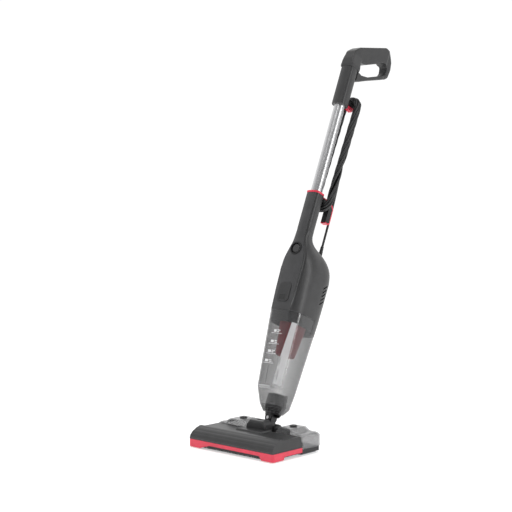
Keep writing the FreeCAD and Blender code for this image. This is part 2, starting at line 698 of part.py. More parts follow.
def impeller():
    hub = rod(10, V(0, CUP_AXIS_Y, 301), V(0, CUP_AXIS_Y, 320))
    plate = rod(34, V(0, CUP_AXIS_Y, 315), V(0, CUP_AXIS_Y, 317.5))
    shaft = rod(4, V(0, CUP_AXIS_Y, 318), V(0, CUP_AXIS_Y, 350))
    blades = []
    for k in range(7):
        blade = box(8, 33, -1, 1, 301.5, 316)
        blade.rotate(V(0, 0, 0), Z_AXIS, k * 360.0 / 7)
        blade.translate(V(0, CUP_AXIS_Y, 0))
        blades.append(blade)
    return fused([hub, plate, shaft] + blades)


def button_ring():
    outer = rod(17.0, V(0, -24.6, POWER_T), V(0, -12.0, POWER_T))
    outer = outer.cut(rod(14.0, V(0, -26, POWER_T), V(0, -18.5, POWER_T)))
    return outer.cut(rod(11.6, V(0, -26, POWER_T), V(0, -5, POWER_T)))


def power_button():
    cap = rod(11.5, V(0, -22.6, POWER_T), V(0, -13, POWER_T))
    return cap.makeFillet(1.5, [e for e in cap.Edges if e.BoundBox.YMax < -22])


def power_switch():
    return rounded_box(-9, 9, -10.4, 8, POWER_T - 12, POWER_T + 12, 2.0, Y_AXIS)


def release_button():
    cap = rounded_box(-19.2, 19.2, -23.6, -17.6, RELEASE_T - 25.2, RELEASE_T + 25.2, 9.6, Y_AXIS)
    ribs = []
    for k in range(4):
        t = RELEASE_T - 9.0 - 3.6 * k
        ribs.append(box(-10, 10, -30, -22.6, t - 0.9, t + 0.9))
    return cap.cut(Part.makeCompound(ribs))


def release_latch():
    arm = box(-6, 6, -13.5, -9.5, 268, RELEASE_T + 18)
    foot = box(-6, 6, -13.5, 2, RELEASE_T + 14, RELEASE_T + 18)
    return fused([arm, foot])


def exhaust_filter():
    return rounded_box(-26, 26, 90, 101, 335, 388, 6.0, Y_AXIS)


def strain_relief():
    base = CORD_EXIT + V(0, 0, -10)
    sleeve = rod(5.2, base, CORD_EXIT + V(0, 0, 4))
    taper = frustum(5.2, 4.0, CORD_EXIT + V(0, 0, 4), CORD_EXIT + V(0, 0, 26))
    core = rod(CORD_D / 2 + 0.1, CORD_EXIT + V(0, 0, 8), CORD_EXIT + V(0, 0, 40))
    return fused([sleeve, taper]).cut(core)


# ---------------------------------------------------------------- hooks, wand and handle
def hook_profile(grow):
    """Side outline of the lower hook: an arm going back and a prong hanging down."""
    outer = PRONG_Y[1] + grow
    top = HOOK_ARM_T[1] + grow
    return [V(0, 6, HOOK_ARM_T[0]), V(0, PRONG_Y[0], HOOK_ARM_T[0]), V(0, PRONG_Y[0], PRONG_T),
            V(0, outer - 3, PRONG_T), V(0, outer, PRONG_T + 4), V(0, outer, top - 14),
            V(0, outer - 14, top), V(0, 6, top)]


def saddle_cut(centre_t, end_t):
    """Corners to take off a hook arm so that the cord bends round it on a half circle."""
    low, high = sorted((centre_t, end_t))
    block = box(-HOOK_HALF - 1, HOOK_HALF + 1, 8, PRONG_Y[0] - 0.1, low, high)
    radius = HANK_X - HANK_R - 0.4
    return block.cut(rod(radius, V(0, 0, centre_t), V(0, 100, centre_t)))


def lower_hook():
    hook = polygon_prism(hook_profile(0), V(2 * HOOK_HALF, 0, 0))
    hook.translate(V(-HOOK_HALF, 0, 0))
    return hook.cut(housing_loft(0)).cut(saddle_cut(HANK_T[0], HOOK_ARM_T[0] - 1))


def red_trim():
    """Rim round the neck's mouth that runs on over the top and the back of the hook."""
    rim = body_loft((neck_station(NECK_TOP), neck_station(NECK_TOP + RIM_T)), -0.8, True)
    rim = rim.cut(rod(TUBE_R + 0.02, V(0, TUBE_Y, 590), V(0, TUBE_Y, 640)))
    strip = polygon_prism([V(0, 8, NECK_TOP), V(0, PRONG_Y[1] - 14, NECK_TOP),
                           V(0, PRONG_Y[1], NECK_TOP - 14), V(0, PRONG_Y[1], PRONG_T + 4),
                           V(0, PRONG_Y[1] - 3, PRONG_T), V(0, PRONG_Y[0], PRONG_T),
                           V(0, PRONG_Y[0], PRONG_T - 3), V(0, PRONG_Y[1] - 1, PRONG_T - 3),
                           V(0, PRONG_Y[1] + 3, PRONG_T + 2), V(0, PRONG_Y[1] + 3, NECK_TOP - 12),
                           V(0, PRONG_Y[1] - 12, NECK_TOP + 3), V(0, 8, NECK_TOP + 3)],
                          V(2 * HOOK_HALF, 0, 0))
    strip.translate(V(-HOOK_HALF, 0, 0))
    strip = strip.cut(rod(TUBE_R + 0.02, V(0, TUBE_Y, 590), V(0, TUBE_Y, 640)))
    return fused([rim, strip])


def wand_tube():
    return ring(TUBE_R, TUBE_R - TUBE_WALL, V(0, TUBE_Y, TUBE_T[0]), V(0, TUBE_Y, TUBE_T[1]))


def handle_sleeve():
    sleeve = body_loft((neck_station(SLEEVE_T[0]), neck_station(SLEEVE_T[1])), 0, True)
    sleeve = sleeve.cut(rod(TUBE_R + 0.01, V(0, TUBE_Y, 800), V(0, TUBE_Y, TUBE_T[1])))
    return sleeve.cut(rod(8, V(0, TUBE_Y, 900), V(0, TUBE_Y, 990)))


GRIP_TOP_FRONT = V(0, -1, 1041)
GRIP_TOP_REAR = V(0, 105, 1098)


def handle_outline():
    """Outer side outline of the loop handle, from the sleeve's front round to its back."""
    return [V(0, -23, SLEEVE_T[1] + 0.3), V(0, -23, 1000), V(0, -18, 1024), GRIP_TOP_FRONT,
            GRIP_TOP_REAR, V(0, 126, 1096), V(0, 143, 1072), V(0, 147, 1050), V(0, 143, 1024),
            V(0, 134, 1015), V(0, 60, 972), V(0, 30, 953), V(0, 15.5, 947)]


def handle_opening():
    """Finger opening of the loop."""
    return [V(0, 14, 1003), V(0, 42, 1011), V(0, 112, 1054), V(0, 128, 1050), V(0, 131, 1034),
            V(0, 126, 1023), V(0, 62, 984), V(0, 34, 975), V(0, 17, 978)]


def smooth_prism(points, half, radius):
    """Prism of a polygon whose corners are rounded in the side view."""
    edges = []
    count = len(points)
    cuts = []
    for k in range(count):
        p = points[k]
        before = points[k - 1] - p
        after = points[(k + 1) % count] - p
        turn = before.getAngle(after)
        room = 0.45 * min(before.Length, after.Length)
        reach = min(room, radius / tan(turn / 2))
        start = p + before.normalize() * reach
        end = p + after.normalize() * reach
        bisector = (before + after).normalize()
        r = reach * tan(turn / 2)
        mid = p + bisector * (r / sin(turn / 2) - r)
        cuts.append((start, mid, end))
    for k in range(count):
        start, mid, end = cuts[k]
        edges.append(Part.Arc(start, mid, end).toShape())
        edges.append(Part.LineSegment(end, cuts[(k + 1) % count][0]).toShape())
    prism = Part.Face(Part.Wire(edges)).extrude(V(2 * half, 0, 0))
    prism.translate(V(-half, 0, 0))
    return prism


def handle_loop():
    loop = smooth_prism(handle_outline(), GRIP_HALF + 3.5, 14.0)
    loop = loop.cut(smooth_prism(handle_opening(), GRIP_HALF + 5, 6.0))
    taper = polygon_prism([V(-19.5, -40, 900), V(19.5, -40, 900), V(19.5, -40, 985),
                           V(GRIP_HALF, -40, 1015), V(GRIP_HALF, -40, 1200),
                           V(-GRIP_HALF, -40, 1200), V(-GRIP_HALF, -40, 1015),
                           V(-19.5, -40, 985)], V(0, 56, 0))
    back = box(-STRAP_HALF, STRAP_HALF, 15.9, 200, 900, 1200)
    grip = box(-GRIP_HALF, GRIP_HALF, 15.9, 122, 1000, 1200)
    loop = loop.common(fused([taper, back, grip]))
    sleeve_zone = box(-30, 30, -40, 15.5, 900, SLEEVE_T[1] + 0.2)
    return loop.cut(sleeve_zone)


def upper_hook():
    outline = [V(0, 10, UPPER_ARM_T[0]), V(0, UPPER_PRONG_Y[1], UPPER_ARM_T[0]),
               V(0, UPPER_PRONG_Y[1], UPPER_PRONG_TOP), V(0, UPPER_PRONG_Y[0], UPPER_PRONG_TOP),
               V(0, UPPER_PRONG_Y[0], UPPER_ARM_T[1]), V(0, 10, UPPER_ARM_T[1])]
    hook = polygon_prism(outline, V(2 * HOOK_HALF, 0, 0))
    hook.translate(V(-HOOK_HALF, 0, 0))
    hook = hook.cut(saddle_cut(HANK_T[1], UPPER_ARM_T[1] + 1))
    return hook.cut(body_loft((neck_station(850), neck_station(950)), 0, True))


def hook_brace():
    t = UPPER_ARM_T[0]
    brace = polygon_prism([V(-5.5, 10, t), V(-5.5, 46, t), V(-5.5, 42, t - 11), V(-5.5, 22, t - 7),
                           V(-5.5, 10, t - 7)], V(11, 0, 0))
    return brace.cut(body_loft((neck_station(850), neck_station(950)), 0, True))


# ---------------------------------------------------------------- cord
def cord_tube(points, name):
    """Straight runs joined by tangent arcs, as large as the two runs allow."""
    edges = []
    radii = []
    last = points[0]
    for k in range(1, len(points) - 1):
        p = points[k]
        before = points[k - 1] - p
        after = points[k + 1] - p
        turn = pi - before.getAngle(after)
        reach = 0.45 * min(before.Length, after.Length)
        radius = reach / tan(turn / 2)
        start = p + before.normalize() * reach
        end = p + after.normalize() * reach
        bisector = (before + after).normalize()
        mid = p + bisector * (radius / cos(turn / 2) - radius)
        edges.append(Part.LineSegment(last, start).toShape())
        edges.append(Part.Arc(start, mid, end).toShape())
        radii.append(radius)
        last = end
    edges.append(Part.LineSegment(last, points[-1]).toShape())
    wire = Part.Wire(edges)
    direction = points[1] - points[0]
    disc = Part.Wire(Part.makeCircle(CORD_D / 2, points[0], direction))
    tube = wire.makePipeShell([disc], True, False)
    expected = pi * CORD_D ** 2 / 4 * wire.Length
    print(name, "radii", [round(r, 1) for r in radii], "length", round(wire.Length, 1),
          "volume ratio", round(tube.Volume / expected, 4))
    return tube


LEAD_ROUTE = [V(0, 76.0, 474.0), V(0, 76.0, 600.0), V(6, 74.0, 640.0), V(16, 61.0, 676.0),
              V(23.0, 40.0, 708.0)]
TAIL_ROUTE = [V(-23.5, 33.5, 690.0), V(-30.0, 33.0, 658.0), V(-36.5, 31.5, 628.0),
              V(-38.0, 30.0, 596.0)]


def cord_hank():
    """Bundle of seven strands, wound in a long loop over both hooks."""
    low, high = HANK_T
    pieces = []
    for x in (-HANK_X, HANK_X):
        pieces.append(rod(HANK_R, V(x, HANK_Y, low), V(x, HANK_Y, high)))
    for t, start in ((high, 0), (low, 180)):
        bend = Part.makeTorus(HANK_X, HANK_R, V(0, 0, 0), Z_AXIS, 0, 360, 180)
        bend.rotate(V(0, 0, 0), X_AXIS, 90)
        bend.rotate(V(0, 0, 0), Y_AXIS, start)
        bend.translate(V(0, HANK_Y, t))
        pieces.append(bend)
    hank = fused(pieces)
    hank.rotate(V(0, HANK_Y, low), X_AXIS, -HANK_TILT)
    return hank


def plug_body():
    wide, deep, tall = PLUG_SIZE
    m = PLUG_MID
    body = rounded_box(m.x - wide / 2, m.x + wide / 2, m.y - deep / 2, m.y + deep / 2,
                       m.z - tall / 2, m.z + 6, 7.5, Z_AXIS)
    top = m + V(0, 0, 6)
    grip = frustum(8.2, 4.2, top, V(m.x, m.y, 596))
    body = fused([body, grip])
    for side in (-1, 1):
        y = m.y + side * PLUG_PIN_PITCH / 2
        body = body.cut(rod(PLUG_ROOT_R, V(m.x, y, m.z - tall), V(m.x, y, m.z - 8)))
    return body


def plug_pins():
    m = PLUG_MID
    face = m.z - PLUG_SIZE[2] / 2
    pins = []
    for side in (-1, 1):
        y = m.y + side * PLUG_PIN_PITCH / 2
        pin = rod(PLUG_PIN_R, V(m.x, y, face - PLUG_PIN_L), V(m.x, y, face))
        root = rod(PLUG_ROOT_R, V(m.x, y, face - 1), V(m.x, y, m.z - 8))
        pins.append(pin.fuse(root).removeSplitter())
    return Part.makeCompound(pins)


# ---------------------------------------------------------------- build
def build():
    shell = housing_shell()
    hank = cord_hank()
    parts = {
        "head_shell": head_shell(), "head_base": head_base(), "bumper_skirt": bumper_skirt(),
        "hump_cover": hump_cover(), "head_duct": head_duct(), "bristle_strips": bristle_strips(),
        "roller_pair": roller_pair(), "roller_axles": roller_axles(), "head_screws": head_screws(),
        "axle_bushes": axle_bushes(), "water_tank": water_tank(), "tank_bridge": tank_bridge(),
        "tank_tray": tank_tray(),
        "mop_pad": mop_pad(), "tank_plug_right": tank_plug(1), "tank_plug_left": tank_plug(-1),
        "ankle_yoke": on_ankle(ankle_yoke()), "axle_stubs": on_ankle(axle_stubs()),
        "neck_fork": on_ankle(neck_fork()), "swivel_pins": on_ankle(swivel_pins()),
    }
    stick = {
        "dust_cup": dust_cup(), "inlet_socket": inlet_socket(), "inlet_flap": inlet_flap(),
        "front_panel": front_panel(shell), "body_shell": body_shell(shell),
        "body_screws": body_screws(), "collar": collar(), "cup_seal": cup_seal(),
        "filter_plate": filter_plate(), "filter_basket": filter_basket(),
        "filter_core": filter_core(), "motor": motor(), "motor_mount_lower": motor_mount(330),
        "motor_mount_upper": motor_mount(380), "fan_cover": fan_cover(), "impeller": impeller(),
        "button_ring": button_ring(), "power_button": power_button(),
        "power_switch": power_switch(), "release_button": release_button(),
        "release_latch": release_latch(), "exhaust_filter": exhaust_filter(),
        "strain_relief": strain_relief(), "lower_hook": lower_hook(), "red_trim": red_trim(),
        "wand_tube": wand_tube(), "handle_sleeve": handle_sleeve(), "handle_loop": handle_loop(),
        "upper_hook": upper_hook(), "hook_brace": hook_brace(), "cord_hank": hank,
        "cord_lead": cord_tube(LEAD_ROUTE, "cord_lead").cut(hank),
        "cord_tail": cord_tube(TAIL_ROUTE, "cord_tail").cut(hank),
        "plug_body": plug_body(), "plug_pins": plug_pins(),
    }
    for name, shape in stick.items():
        parts[name] = on_stick(shape)
    return parts


os.makedirs("parts", exist_ok=True)
for node, shape in build().items():
    shape.translate(V(0, -HEAD_SHIFT, 0))
    if not shape.isValid() or shape.Volume <= 0:
        print("CHECK", node, shape.isValid(), shape.Volume)
    shape.exportStep("parts/" + node + ".step")
    print(node, len(shape.Solids), round(shape.Volume / 1000, 2), "cm3")
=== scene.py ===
import json
import random
from math import cos, pi, radians, sin, sqrt

import bpy
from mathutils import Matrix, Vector, noise


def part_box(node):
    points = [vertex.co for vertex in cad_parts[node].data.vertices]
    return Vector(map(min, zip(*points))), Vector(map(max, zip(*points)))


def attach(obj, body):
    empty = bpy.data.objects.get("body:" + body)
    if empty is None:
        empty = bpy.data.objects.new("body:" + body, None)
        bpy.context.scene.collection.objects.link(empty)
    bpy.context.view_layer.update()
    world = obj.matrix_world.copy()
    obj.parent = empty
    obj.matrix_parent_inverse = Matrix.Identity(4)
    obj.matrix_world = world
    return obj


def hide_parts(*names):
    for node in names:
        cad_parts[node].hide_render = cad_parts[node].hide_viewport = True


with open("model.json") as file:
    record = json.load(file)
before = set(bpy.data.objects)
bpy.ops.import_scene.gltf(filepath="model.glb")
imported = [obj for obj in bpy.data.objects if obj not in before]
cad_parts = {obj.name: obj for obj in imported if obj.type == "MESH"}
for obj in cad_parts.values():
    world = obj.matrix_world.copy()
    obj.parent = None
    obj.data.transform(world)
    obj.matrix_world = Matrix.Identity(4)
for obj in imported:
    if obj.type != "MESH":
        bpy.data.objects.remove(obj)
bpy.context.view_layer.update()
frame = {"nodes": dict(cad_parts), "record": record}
NODES = frame["nodes"]
MM = 0.001
SEED = 11

# ---------------------------------------------------------------- the stick's own frame
LEAN = radians(23.0)
PIVOT = Vector((0.0, 15.0, 37.0))
WAND_AHEAD = 72.5
WAND_RAISE = 7.5
STICK_UP = Vector((0.0, sin(LEAN), cos(LEAN)))
STICK_BACK = Vector((0.0, cos(LEAN), -sin(LEAN)))
SIDE = Vector((1.0, 0.0, 0.0))


def stick(x, y, t):
    """World place of a point of the stick: to the side, backwards and along it, in millimetres."""
    place = PIVOT + SIDE * x + STICK_BACK * (y - WAND_AHEAD) + STICK_UP * (t + WAND_RAISE)
    return place * MM


# ---------------------------------------------------------------- camera and light
CAMERA_PLACE = (1.8648, -2.0806, 0.600)
CAMERA_TURN = (radians(87.5), 0.0, radians(42.5))
SENSOR_MM = 36.0
LENS_MM = 78.75
BACKDROP_SIDE = (-0.68, 0.73, 0.0)   # the white side of the room
DIM_FROM, BRIGHT_FROM = -0.55, 0.45  # how far a direction faces that side
ROOM_DIM = 0.25
ROOM_BRIGHT = 1.05
LIGHT_AIM = (0.0, 0.15, 0.5)
LIGHTS = (("side_strip", (2.5, 0.7, 1.0), (0.35, 2.2), 20.0),
          ("front_box", (-0.6, -2.7, 1.3), (0.7, 1.8), 12.0),
          ("top_box", (0.5, -0.5, 2.8), (1.4, 1.0), 20.0))
FLOOR_HALF = 14.0
FLOOR_DROP = 0.0004                  # keeps the sheet just clear of the mop pad


def add_camera():
    data = bpy.data.cameras.new("camera")
    data.sensor_width = SENSOR_MM
    data.lens = LENS_MM
    camera = bpy.data.objects.new("camera", data)
    camera.location = CAMERA_PLACE
    camera.rotation_euler = CAMERA_TURN
    bpy.context.scene.collection.objects.link(camera)
    bpy.context.scene.camera = camera


def add_light(name, place, size, power):
    data = bpy.data.lights.new(name, "AREA")
    data.shape = "RECTANGLE"
    data.size, data.size_y = size
    data.energy = power
    lamp = bpy.data.objects.new(name, data)
    lamp.location = place
    lamp.rotation_euler = (Vector(LIGHT_AIM) - Vector(place)).to_track_quat("-Z", "Y").to_euler()
    bpy.context.scene.collection.objects.link(lamp)


def add_world():
    """White room behind the object, dimmer on the side the camera stands."""
    world = bpy.data.worlds.new("studio")
    world.use_nodes = True
    tree = world.node_tree
    sky = tree.nodes["Background"]
    place = tree.nodes.new("ShaderNodeTexCoord")
    facing = tree.nodes.new("ShaderNodeVectorMath")
    facing.operation = "DOT_PRODUCT"
    facing.inputs[1].default_value = BACKDROP_SIDE
    tree.links.new(place.outputs["Generated"], facing.inputs[0])
    shade_by_side = tree.nodes.new("ShaderNodeMapRange")
    shade_by_side.inputs["From Min"].default_value = DIM_FROM
    shade_by_side.inputs["From Max"].default_value = BRIGHT_FROM
    shade_by_side.inputs["To Min"].default_value = ROOM_DIM
    shade_by_side.inputs["To Max"].default_value = ROOM_BRIGHT
    tree.links.new(facing.outputs["Value"], shade_by_side.inputs["Value"])
    tree.links.new(shade_by_side.outputs["Result"], sky.inputs["Strength"])
    sky.inputs["Color"].default_value = (1.0, 1.0, 1.0, 1.0)
    bpy.context.scene.world = world


def add_floor():
    mesh = bpy.data.meshes.new("floor")
    corners = [(x * FLOOR_HALF, y * FLOOR_HALF, 0.0)
               for x, y in ((-1, -1), (1, -1), (1, 1), (-1, 1))]
    mesh.from_pydata(corners, [], [(0, 1, 2, 3)])
    floor = bpy.data.objects.new("floor", mesh)
    floor.location.z = -FLOOR_DROP
    bpy.context.scene.collection.objects.link(floor)
    mesh.materials.append(MATERIALS["floor"])


def add_studio():
    add_world()
    bpy.context.scene.view_settings.view_transform = "Standard"
    for name, place, size, power in LIGHTS:
        add_light(name, place, size, power)
    add_floor()


# ---------------------------------------------------------------- materials
def new_material(name):
    material = bpy.data.materials.new(name)
    material.use_nodes = True
    tree = material.node_tree
    return material, tree, tree.nodes["Principled BSDF"]


def noise_node(tree, scale, detail=2.0):
    place = tree.nodes.new("ShaderNodeTexCoord")
    grain = tree.nodes.new("ShaderNodeTexNoise")
    grain.inputs["Scale"].default_value = scale
    grain.inputs["Detail"].default_value = detail
    tree.links.new(place.outputs["Object"], grain.inputs["Vector"])
    return grain


def ramp(tree, source, low, high, low_colour, high_colour):
    node = tree.nodes.new("ShaderNodeValToRGB")
    node.color_ramp.elements[0].position = low
    node.color_ramp.elements[1].position = high
    node.color_ramp.elements[0].color = (*low_colour, 1.0)
    node.color_ramp.elements[1].color = (*high_colour, 1.0)
    tree.links.new(source, node.inputs["Fac"])
    return node.outputs["Color"]


def spread(tree, source, low, high):
    """Maps the middle part of a noise value, 0.3 to 0.7, to a range."""
    node = tree.nodes.new("ShaderNodeMapRange")
    node.inputs["From Min"].default_value = 0.3
    node.inputs["From Max"].default_value = 0.7
    node.inputs["To Min"].default_value = low
    node.inputs["To Max"].default_value = high
    tree.links.new(source, node.inputs["Value"])
    return node.outputs["Result"]


def add_bump(tree, shader, height, distance):
    node = tree.nodes.new("ShaderNodeBump")
    node.inputs["Distance"].default_value = distance
    node.inputs["Strength"].default_value = 1.0
    tree.links.new(height, node.inputs["Height"])
    tree.links.new(node.outputs["Normal"], shader.inputs["Normal"])


def shade(colour, factor):
    return tuple(min(1.0, c * factor) for c in colour)


def moulded(name, colour, roughness, grain=1600.0, depth=0.00003, coat=0.0, specular=0.5):
    """Moulded plastic: fine spark texture, slightly uneven gloss and tone."""
    material, tree, shader = new_material(name)
    broad = noise_node(tree, 35.0, 3.0)
    fine = noise_node(tree, grain)
    tone = ramp(tree, broad.outputs["Fac"], 0.35, 0.65, shade(colour, 0.9), shade(colour, 1.1))
    tree.links.new(tone, shader.inputs["Base Color"])
    gloss = spread(tree, fine.outputs["Fac"], roughness - 0.04, roughness + 0.04)
    tree.links.new(gloss, shader.inputs["Roughness"])
    add_bump(tree, shader, fine.outputs["Fac"], depth)
    shader.inputs["Coat Weight"].default_value = coat
    shader.inputs["Coat Roughness"].default_value = 0.2
    shader.inputs["Specular IOR Level"].default_value = specular
    return material


def brushed(name, colour, roughness, stretch):
    """Drawn metal: fine lines along the stick, or an even grain if stretch is equal all round."""
    material, tree, shader = new_material(name)
    place = tree.nodes.new("ShaderNodeTexCoord")
    mapping = tree.nodes.new("ShaderNodeMapping")
    mapping.inputs["Rotation"].default_value = (LEAN, 0.0, 0.0)
    mapping.inputs["Scale"].default_value = stretch
    grain = tree.nodes.new("ShaderNodeTexNoise")
    grain.inputs["Scale"].default_value = 1.0
    grain.inputs["Detail"].default_value = 3.0
    tree.links.new(place.outputs["Object"], mapping.inputs["Vector"])
    tree.links.new(mapping.outputs["Vector"], grain.inputs["Vector"])
    shader.inputs["Metallic"].default_value = 1.0
    tone = ramp(tree, grain.outputs["Fac"], 0.35, 0.65, shade(colour, 0.93), shade(colour, 1.05))
    tree.links.new(tone, shader.inputs["Base Color"])
    gloss = spread(tree, grain.outputs["Fac"], roughness - 0.05, roughness + 0.07)
    tree.links.new(gloss, shader.inputs["Roughness"])
    add_bump(tree, shader, grain.outputs["Fac"], 0.00002)
    return material


def clear(name, colour, facing, edge):
    """Smoked clear plastic: denser towards its edges."""
    material, tree, shader = new_material(name)
    layer = tree.nodes.new("ShaderNodeLayerWeight")
    layer.inputs["Blend"].default_value = 0.35
    haze = noise_node(tree, 60.0)
    tone = ramp(tree, haze.outputs["Fac"], 0.3, 0.7, shade(colour, 0.95), shade(colour, 1.05))
    tree.links.new(tone, shader.inputs["Base Color"])
    density = tree.nodes.new("ShaderNodeMapRange")
    density.inputs["To Min"].default_value = facing
    density.inputs["To Max"].default_value = edge
    tree.links.new(layer.outputs["Facing"], density.inputs["Value"])
    tree.links.new(density.outputs["Result"], shader.inputs["Alpha"])
    shader.inputs["Roughness"].default_value = 0.12
    shader.inputs["Specular IOR Level"].default_value = 0.9
    return material


def woven(name, colour, scale, depth):
    """Fabric or paper: small raised loops with uneven tone and a soft sheen."""
    material, tree, shader = new_material(name)
    place = tree.nodes.new("ShaderNodeTexCoord")
    bumps = tree.nodes.new("ShaderNodeTexVoronoi")
    bumps.inputs["Scale"].default_value = scale
    tree.links.new(place.outputs["Object"], bumps.inputs["Vector"])
    tone = ramp(tree, bumps.outputs["Distance"], 0.05, 0.8, shade(colour, 1.15), shade(colour, 0.6))
    tree.links.new(tone, shader.inputs["Base Color"])
    shader.inputs["Roughness"].default_value = 0.95
    shader.inputs["Sheen Weight"].default_value = 0.5
    add_bump(tree, shader, bumps.outputs["Distance"], -depth)
    return material


def glowing_floor(name):
    """Matt white sheet that glows a little, like a photographer's light table."""
    material, tree, shader = new_material(name)
    grain = noise_node(tree, 0.6)
    tone = ramp(tree, grain.outputs["Fac"], 0.3, 0.7, (0.93, 0.93, 0.93), (0.95, 0.95, 0.95))
    tree.links.new(tone, shader.inputs["Base Color"])
    shader.inputs["Roughness"].default_value = 1.0
    shader.inputs["Specular IOR Level"].default_value = 0.0
    shader.inputs["Emission Color"].default_value = (1.0, 1.0, 1.0, 1.0)
    shader.inputs["Emission Strength"].default_value = 0.45
    return material


MATERIALS = {
    "charcoal": moulded("charcoal", (0.034, 0.034, 0.035), 0.36, specular=0.45),
    # painted light: a lighter copy of charcoal for the front panel, brightened in its colour as the
    # fill light would
    "charcoal_painted_lit": moulded("charcoal_painted_lit", (0.044, 0.044, 0.046), 0.38),
    "charcoal_dark": moulded("charcoal_dark", (0.013, 0.013, 0.014), 0.40, specular=0.4),
    "coral_red": moulded("coral_red", (0.70, 0.030, 0.070), 0.34, coat=0.1),
    "smoke_clear": clear("smoke_clear", (0.11, 0.11, 0.113), 0.26, 0.82),
    "filter_red": moulded("filter_red", (0.36, 0.010, 0.025), 0.45),
    "filter_paper": woven("filter_paper", (0.55, 0.54, 0.5), 700.0, 0.0003),
    "wand_alu": brushed("wand_alu", (0.62, 0.62, 0.63), 0.30, (900.0, 900.0, 9.0)),
    "steel": brushed("steel", (0.55, 0.55, 0.56), 0.32, (300.0, 300.0, 300.0)),
    "soft_black": moulded("soft_black", (0.016, 0.016, 0.016), 0.6, 900.0),
    "mop_cloth": woven("mop_cloth", (0.36, 0.37, 0.39), 420.0, 0.0012),
    "bristle": moulded("bristle", (0.02, 0.02, 0.02), 0.5),
    "cord_black": moulded("cord_black", (0.014, 0.014, 0.015), 0.42, 700.0),
    "stub_grey": moulded("stub_grey", (0.22, 0.22, 0.225), 0.35),
    "pin_metal": brushed("pin_metal", (0.75, 0.75, 0.75), 0.2, (200.0, 200.0, 200.0)),
    "gloss_black": moulded("gloss_black", (0.012, 0.012, 0.013), 0.12, coat=0.8),
    "mark_white": moulded("mark_white", (0.75, 0.75, 0.76), 0.5),
    "tank_clear": clear("tank_clear", (0.20, 0.20, 0.205), 0.24, 0.85),
    # painted highlight: light clear stuff for the painted reflection strip and the foot highlight
    # on the cup
    "painted_highlight_clear": clear("painted_highlight_clear", (0.72, 0.72, 0.73), 0.62, 0.75),
    "floor": glowing_floor("floor"),
}
# nodes whose look differs from the one their slot gives; the front panel's lighter charcoal is
# painted light
OWN_LOOK = {"water_tank": "tank_clear", "tank_bridge": "tank_clear",
            "front_panel": "charcoal_painted_lit", "power_button": "gloss_black"}


def dress_cad():
    """Gives every CAD node its own look, or the material of its slot."""
    for part in frame["record"]["subparts"]:
        data = NODES[part["node"]].data
        data.materials.clear()
        data.materials.append(MATERIALS[OWN_LOOK.get(part["node"], part["material_slot"])])


# ---------------------------------------------------------------- pieces
ROW_LENGTH = 5.0                     # a plate has a row of points about this often, in mm
PLATE_SINK = 0.1                     # and its back lies this far inside the surface
CUP_AXIS_Y = 45.0
CUP_FRONT_Y = -40.0                  # clear in front of the cup's front face
MARK_ROWS = (231.0, 204.0, 179.0, 155.0)
MARK_THICK = 0.12
TUFT_STEP = 3.0
TUFT_Z = (1.0, 6.9)                  # tips and roots
TUFT_SIDES = 5
FILAMENTS = 3
PAD_COLUMNS, PAD_ROWS = 90, 22
PAD_CORNER = 0.008
PAD_EDGE = 0.006                     # width of its rounded border
PAD_FULLNESS = 0.97
QUILT_PITCH, QUILT_DEPTH = 0.018, 0.0005
CLOTH_SCALE, CLOTH_ROUGH = 260.0, 0.0003


def finish_piece(piece, body, material):
    """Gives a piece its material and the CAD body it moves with."""
    piece.data.materials.append(MATERIALS[material])
    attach(piece, body)


def land(node, outside, inside):
    """Where a line from outside to inside first meets a CAD node, and its outward side there."""
    piece = NODES[node]
    back = piece.matrix_world.inverted()
    start = back @ outside
    hit, place, normal, _ = piece.ray_cast(start, (back @ inside - start).normalized())
    if not hit:
        raise ValueError(f"no surface of {node} on this line")
    return piece.matrix_world @ place, (piece.matrix_world.to_3x3() @ normal).normalized()


def link_mesh(name, points, faces, smooth=True):
    """Mesh object in the scene from world points."""
    mesh = bpy.data.meshes.new(name)
    mesh.from_pydata([tuple(p) for p in points], [], faces)
    mesh.update()
    for polygon in mesh.polygons:
        polygon.use_smooth = smooth
    piece = bpy.data.objects.new(name, mesh)
    bpy.context.scene.collection.objects.link(piece)
    return piece


def rim_edges(rows, columns):
    """Pairs of neighbours round the border of a grid of points, in order."""
    rim = list(range(columns))
    rim += [i * columns + columns - 1 for i in range(1, rows)]
    rim += [(rows - 1) * columns + j for j in range(columns - 2, -1, -1)]
    rim += [i * columns for i in range(rows - 2, 0, -1)]
    return zip(rim, rim[1:] + rim[:1])


def applied_patch(name, node, left, right, stations, axis_y, thickness, columns=6, inward=1.0):
    """Thin plate moulded on the face of a stick node.

    left and right give, for a share 0..1 along the stations, the sideways place and the place
    backwards of the two edges. Every point is thrown inwards, towards its own sideways place
    times inward on the plane axis_y, and lies where that line meets the node.
    """
    low, high = stations
    rows = max(2, int(abs(high - low) / ROW_LENGTH) + 1)
    outer = []
    inner = []
    for i in range(rows):
        share = i / (rows - 1)
        t = low + (high - low) * share
        for j in range(columns):
            k = j / (columns - 1)
            x, y = (a * (1 - k) + b * k for a, b in zip(left(share), right(share)))
            place, side = land(node, stick(x, y, t), stick(x * inward, axis_y, t))
            outer.append(place + side * thickness * MM)
            inner.append(place - side * PLATE_SINK * MM)
    points = outer + inner
    count = rows * columns
    faces = []
    for i in range(rows - 1):
        for j in range(columns - 1):
            a = i * columns + j
            faces.append((a, a + 1, a + columns + 1, a + columns))
            faces.append((count + a, count + a + columns, count + a + columns + 1, count + a + 1))
    for a, b in rim_edges(rows, columns):
        faces.append((a, count + a, count + b, b))
    return link_mesh(name, points, faces, False)


def front_plate(name, left, right, stations, thickness, columns=6):
    """Plate with upright sides on the front face of the cup."""
    return applied_patch(name, "dust_cup", lambda s: (left, CUP_FRONT_Y),
                         lambda s: (right, CUP_FRONT_Y), stations, CUP_AXIS_Y, thickness, columns)


